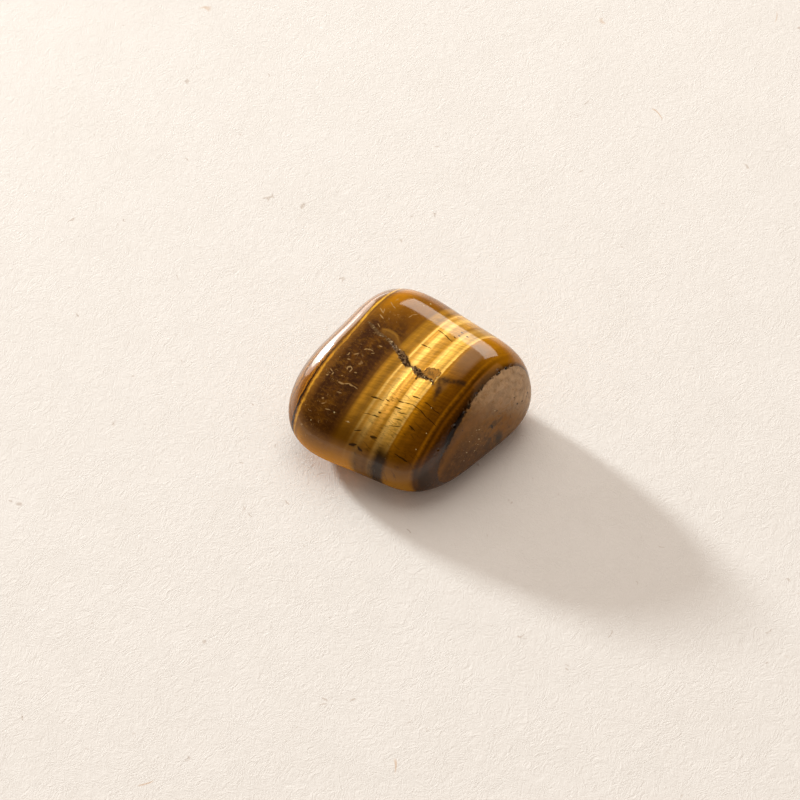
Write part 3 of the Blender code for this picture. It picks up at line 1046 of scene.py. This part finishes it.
# The near-end column is a smoky band, and its near-black depth is partly painted shade.
column_y = plus(y, times(ragged, 0.9))
smoke_and_shade_column = times(zone(column_y, -4.55, -2.95, 0.45),
                   times(fade(x, -9.8, -8.2, 0.95), ease(z, 8, 11, 1, 0.1)))
body = blend(smoke_and_shade_column, body, END_SMOKE_AND_SHADE)
smoke = larger(smoke, smoke_and_shade_column)
print("haze and smoke ready")

# %% [markdown]
# # The brown side
# Beyond the seam the silk ends, and the stone is plain brown jasper: cloudy, matt in
# colour under the same polish, with a rust-coloured contour, blots and grey spots. Clouds
# of two sizes come from the shared mottling, and soft spots say where the blots gather.

# %% The brown side's colour
JASPER = screen(53, 37.5, 19)
JASPER_IN_PAINTED_SHADE = screen(35, 22.5, 9)
JASPER_WITH_PAINTED_REFLECTION = screen(74, 61, 46)
GREY_SPOT = screen(22, 19, 15)
RUST = screen(54, 35, 11)
large_cloud = mottle(stretch(place, 0.6, 1, 1.4), 5.5, 2.2)
dust = mottle(place, 0.6, 1.6)
up_the_side = plus(times(x, 0.8), z)
# Painted shade and reflection: the jasper is darker low down and towards the near end, broken up
# by the large cloud, and paler high up towards the far end, as a painted reflection of the lit
# floor.
jasper = blend(ease(plus(up_the_side, swing(large_cloud, 5)), 3, 10), JASPER_IN_PAINTED_SHADE, JASPER)
jasper = blend(ease(up_the_side, 8.5, 14.5), jasper, JASPER_WITH_PAINTED_REFLECTION)
jasper = tint(jasper, ease(dust, 0.45, 0.8), RUST, 0.55)


def side_spot(x, z, wide, tall):
    """A soft cloud on the brown side, at an x and a height."""
    return fade(plus(spot_gap(place, (x, 0, z), (wide, 0, tall)), ragged), 0.3, 1.2)


blots = grain(stretch(place, 0.9, 1, 1.1), 0.95, 5, 0.68, 0.9)
jasper = shade(jasper, ease(blots, 0.35, 0.65, 0.8, 1.14))
rust_blots = times(ease(blots, 0.5, 0.58), side_spot(3.8, 5.8, 3.4, 2.6))
jasper = tint(jasper, rust_blots, RUST, 0.8)
grey_blots = times(fade(blots, 0.4, 0.47), side_spot(3.2, 4.8, 3, 3))
jasper = tint(jasper, grey_blots, GREY_SPOT, 0.6)
jasper = tint(jasper, times(crumbs, side_spot(-0.6, 5.4, 4.2, 3.4)), FLECK_COLOUR, 0.55)
cluster = times(side_spot(4.2, 5.4, 1.4, 1.7), ease(dust, 0.35, 0.65, 0.35, 1))
jasper = blend(cluster, jasper, RUST)
jasper = tint(jasper, side_spot(3.3, 3.4, 0.8, 1.9), GREY_SPOT, 0.75)
rim_away = plus(spot_gap(place, (3, 0, 0), (11, 0, 9.3)), times(ragged, 0.05))
contour = times(zone(rim_away, 0.93, 1.01, 0.06), ease(x, -1, 4, 0.75, 0.15))
jasper = blend(contour, jasper, RUST)
for label, colour, strength in (("side_dark", GREY_SPOT, 0.9), ("side_rust", RUST, 0.8),
                                ("side_pale", PALE_GRAIN_AND_GLINT, 0.8)):
    jasper = tint(jasper, mark(label), colour, strength)
print("brown side ready")

# %% [markdown]
# # The seam and its dark margin
# The silk darkens before it ends, and a broken black line parts it from the jasper. The
# line bends a little towards the near end, and it fades out at both ends of the stone,
# where nothing broke out of it.

# %% Join the two sides at the seam
NEAR_BLACK = screen(13, 6, 1)
CORNER_PAINTED_SHADE = screen(20, 12, 4)
SEAM_BLACK = screen(6, 4, 2.5)
seam_bend = ease(x, -7, 2.5, 0.45, 0)
seam_place = plus(level, plus(times(ragged, 0.35), seam_bend))
dark_margin = times(ease(x, -1, 6, 0.95, 0.35),
                    fade(seam_place, SEAM_AT + 0.08, SEAM_AT + 0.45, 0.85),
                    ease(x, -6.5, -3, 0.45, 1))
body = blend(dark_margin, body, NEAR_BLACK)
beyond_seam = fade(seam_place, SEAM_AT - 0.06, SEAM_AT + 0.04)
body = blend(beyond_seam, body, jasper)
# Painted shade: the low corner where the near end meets the brown side is darkened.
painted_shade_corner = times(zone(x, -8.7, -7.1, 0.4), fade(z, 5, 7.5, 0.85), fade(y, -8, -6.5))
body = blend(painted_shade_corner, body, CORNER_PAINTED_SHADE)
seam_breaks = larger(ease(grain(place, 0.9, 2, 0.5), 0.44, 0.58), zone(x, -4.2, -0.6, 0.6))
seam_half = plus(0.05, times(seam_breaks, 0.09))
seam_away = minus(calc("ABSOLUTE", minus(seam_place, SEAM_AT)), seam_half)
seam_mask = times(fade(seam_away, -0.04, 0.08), ease(seam_breaks, 0, 0.5, 0.3, 1),
                  ease(x, -6, -4), ease(x, 8.2, 9.2, 1, 0.15))
body = tint(body, seam_mask, SEAM_BLACK, 0.92)
print("seam ready")

# %% [markdown]
# # The finish: silk under a polish
# Two layers make the look. The silk inside is a rough, partly metallic base whose normal
# leans by band, so it flashes softly. The polish is a clear coat with its own true normal,
# so lamps and floor mirror sharply in it. The fibres spread light sideways only, which is
# what anisotropy with a tangent along the bands does.

# %% The polished stone's shader
facing = place_node(board, "NewGeometry").outputs["Normal"]
turned_up = ease(parts(facing)["Z"], 0.5, 0.8)
spoilt = larger(larger(in_crack, beyond_seam), larger(dash_mask, smoke))
silk_here = times(minus(1, spoilt), turned_up)
gleaming = times(zone(level, -5.6, -2.4, 0.3), zone(x, -10, -0.5, 1.5))
total_lean = plus(plus(lean, times(gleaming, 0.07)), plus(swing(coarse, 0.08), swing(fine, 0.24)))
silk_normal = leaning_silk(facing, times(total_lean, silk_here),
                           times(swing(fibres, 0.4), silk_here))
grit = dress(place_node(board, "Bump"), Height=times(sand, in_crack), Strength=0.5,
             Distance=0.15 * MM, Normal=silk_normal)[0]
worn_low = times(fade(z, 3, 7), fade(x, -9, -5.5, 0.6))
polish_left = times(ease(crack_mask, 0.2, 0.9, 0.9, 0.3),
                    ease(beyond_seam, 0, 1, 1, 0.5), minus(1, worn_low))
tangent = place_node(board, "Tangent", direction_type="RADIAL", axis="Y").outputs[0]
skin = dress(place_node(board, "BsdfPrincipled"), Base_Color=body,
             Metallic=times(shine, silk_here), Roughness=ease(fibres, 0.3, 0.7, 0.44, 0.54),
             Normal=grit, Specular_IOR_Level=0, Anisotropic=0.8, Tangent=tangent,
             Coat_Weight=polish_left, Coat_Roughness=0.085, Coat_IOR=1.54)
step("OutputMaterial", (skin[0],))
stone_mesh.materials.append(polish)
print("polish ready")

# %% [markdown]
# # The floor
# A sheet of pale handmade paper, which isn't part of the stone. It is one large flat
# face. Its cloudiness and its few plant fibres are the shared groups at the paper's own
# sizes. The pulp's fibres are three stretched noises, turned against each other and read
# at drifted places, so they curve and cross. A bump raises them only faintly.

# %% Lay the floor
PAPER = screen(95.5, 93.8, 90.8)
PAPER_DEEP = screen(92, 90, 86.5)
CHAFF = screen(62, 50, 38)
PLANT = screen(80, 62, 42)
FLOOR_REACH = 2.5         # in metres, so that its edge is never seen
PULP_TURNS = (0.1, 1.15, -0.95)  # which ways the fibres run, in radians
sheet = bmesh.new()
bmesh.ops.create_grid(sheet, x_segments=1, y_segments=1, size=FLOOR_REACH)
floor_mesh = bpy.data.meshes.new("paper_floor")
sheet.to_mesh(floor_mesh)
sheet.free()
floor = add_object("paper_floor", floor_mesh)
paper, desk, floor_place = new_board("pale_paper")
relief = times(mottle(floor_place, 1.3, 1), 0.5)
fibre_place = drifted(floor_place, 0.22, 11)
for turn in PULP_TURNS:
    turned = dress(place_node(desk, "VectorRotate", rotation_type="Z_AXIS"),
                   Vector=fibre_place, Angle=turn)[0]
    pulp = grain(stretch(turned, 0.4, 3.2, 1), 1, 3, 0.6, 0.5)
    relief = plus(relief, times(pulp, 0.42))
paper_colour = blend(mottle(floor_place, 9, 1.2), PAPER_DEEP, PAPER)
paper_colour = tint(paper_colour, curls(floor_place, 8, 0.015, 0.72), PLANT, 0.5)
paper_colour = tint(paper_colour, curls(floor_place, 2.4, 0.03, 0.72), CHAFF, 0.35)
bump = dress(place_node(desk, "Bump"), Height=relief, Strength=0.36, Distance=0.3 * MM)
matt = dress(place_node(desk, "BsdfPrincipled"), Base_Color=paper_colour, Roughness=0.9,
             Specular_IOR_Level=0.1, Normal=bump[0])
step("OutputMaterial", (matt[0],))
floor_mesh.materials.append(paper)
print("floor", 2 * FLOOR_REACH, "m wide")

# %% [markdown]
# # The light
# Light and reflections are kept apart here, so that each can be tuned alone. Two lamps
# only give light: a low key from behind throws the long shadow, and a broad one overhead
# fills it. Seven only show in the polish. The softbox is the pale patch on the far edge,
# the silk key makes the bands flash, and the others stand in for a window, a warm wall in
# front and the lit paper. They are turned by their long side, because a reflection's
# slant says how its lamp is turned. In reflections the room is paler near the floor and
# dark overhead, because the flat top would mirror it and wash out the silk.

# %% Set up the lamps
GLOW_SIDE = (49.8, -11, -27)
ON_THE_PAPER = None       # instead of a long side: the lamp lies flat and faces up
LIGHT_LAMPS = (           # name, around, height, metres away, size, power, colour, shape
    ("key lamp", 174, 18, 2, 0.24, 43, (0.95, 1, 1.04), "ELLIPSE"),
    ("overhead", 135, 62, 1, 0.9, 5.4, (1, 0.97, 0.93), "RECTANGLE"))
MIRROR_LAMPS = (          # name, around, height, mm away, mm wide and tall, power, colour,
                          # shape, and the way its long side runs
    ("softbox", 103, 42, 500, 460, 210, 1.5, (0.96, 0.93, 0.84), "RECTANGLE",
     (0.07, 0.85, -0.27)),
    ("silk key", 168, 10, 2000, 520, 240, 92, (0.98, 1, 0.98), "ELLIPSE", GLOW_SIDE),
    ("window glow", 169, 8.5, 104, 54, 26, 0.024, (1, 0.99, 0.97), "ELLIPSE", GLOW_SIDE),
    ("window edge", 169, 8, 108, 82, 50, 0.03, (1, 0.98, 0.95), "ELLIPSE", GLOW_SIDE),
    ("front glow", 26, 30, 1000, 460, 520, 0.7, (1, 0.55, 0.25), "RECTANGLE",
     (0.925, 0.29, -0.24)),
    ("far gleam", 154, 0.4, 84, 44, 56, 0.022, (1, 0.97, 0.92), "ELLIPSE", ON_THE_PAPER),
    ("paper gleam", 162, 1, 37, 70, 34, 0.0045, (1, 0.96, 0.9), "RECTANGLE",
     ON_THE_PAPER))


def add_lamp(name, around, height, distance, width, tall, power, colour, shape):
    """An area lamp at an angle around the stone, turned to face it."""
    data = bpy.data.lights.new(name, "AREA")
    data.shape = shape
    data.size = width
    data.size_y = tall
    data.energy = power
    data.color = colour
    lamp = add_object(name, data)
    look_at(lamp, VIEW_TARGET + direction(around, height) * distance, VIEW_TARGET)
    return lamp


def turned_panel(around, height, long_side):
    """The rotation of a long panel that faces the stone, with its long side tilted."""
    if long_side is ON_THE_PAPER:
        around, height, long_side = 0, -90, (1, 0, 0)
    across = Vector(long_side).normalized()
    back = direction(around, height)
    across = (across - back * across.dot(back)).normalized()
    up = back.cross(across)
    return Matrix((across, up, back)).transposed().to_euler()


for name, around, height, away, size, power, colour, shape in LIGHT_LAMPS:
    lamp = add_lamp(name, around, height, away, size, size, power, colour, shape)
    lamp.visible_glossy = False
for name, around, height, away, wide, tall, power, colour, shape, side in MIRROR_LAMPS:
    lamp = add_lamp(name, around, height, away * MM, wide * MM, tall * MM, power, colour, shape)
    lamp.rotation_euler = turned_panel(around, height, side)
    lamp.visible_diffuse = False
print(len(LIGHT_LAMPS), "lamps for light and", len(MIRROR_LAMPS), "for reflections")

# %% [markdown]
# # The room around
# The room has to light the shadows evenly and still look different in a reflection. A
# Light Path node tells the two apart: plain light gets one even strength, and mirrored
# rays get a soft fall from the floor upwards.

# %% Set up the room
ROOM_COLOUR = (1, 0.83, 0.74, 1)
ROOM_LIGHT = 0.38
MIRRORED_LIGHT = 0.42     # near the floor, falling to nothing
world = bpy.data.worlds.new("studio")
world.use_nodes = True
room = world.node_tree
looking = parts(place_node(room, "TexCoord").outputs["Generated"])
in_mirror = place_node(room, "LightPath").outputs["Is Glossy Ray"]
room_light = plus(times(minus(1, in_mirror), ROOM_LIGHT),
                  times(in_mirror, fade(looking["Z"], 0, 0.3, MIRRORED_LIGHT)))
dress(room.nodes["Background"], Color=ROOM_COLOUR, Strength=room_light)
world.cycles.sampling_method = "NONE"
bpy.context.scene.world = world
bpy.context.scene.view_settings.view_transform = "Standard"
print("the room is ready")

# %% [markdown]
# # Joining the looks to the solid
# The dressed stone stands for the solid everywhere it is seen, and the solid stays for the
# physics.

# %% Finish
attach(stone, "root")
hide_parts(STONE_NODE)
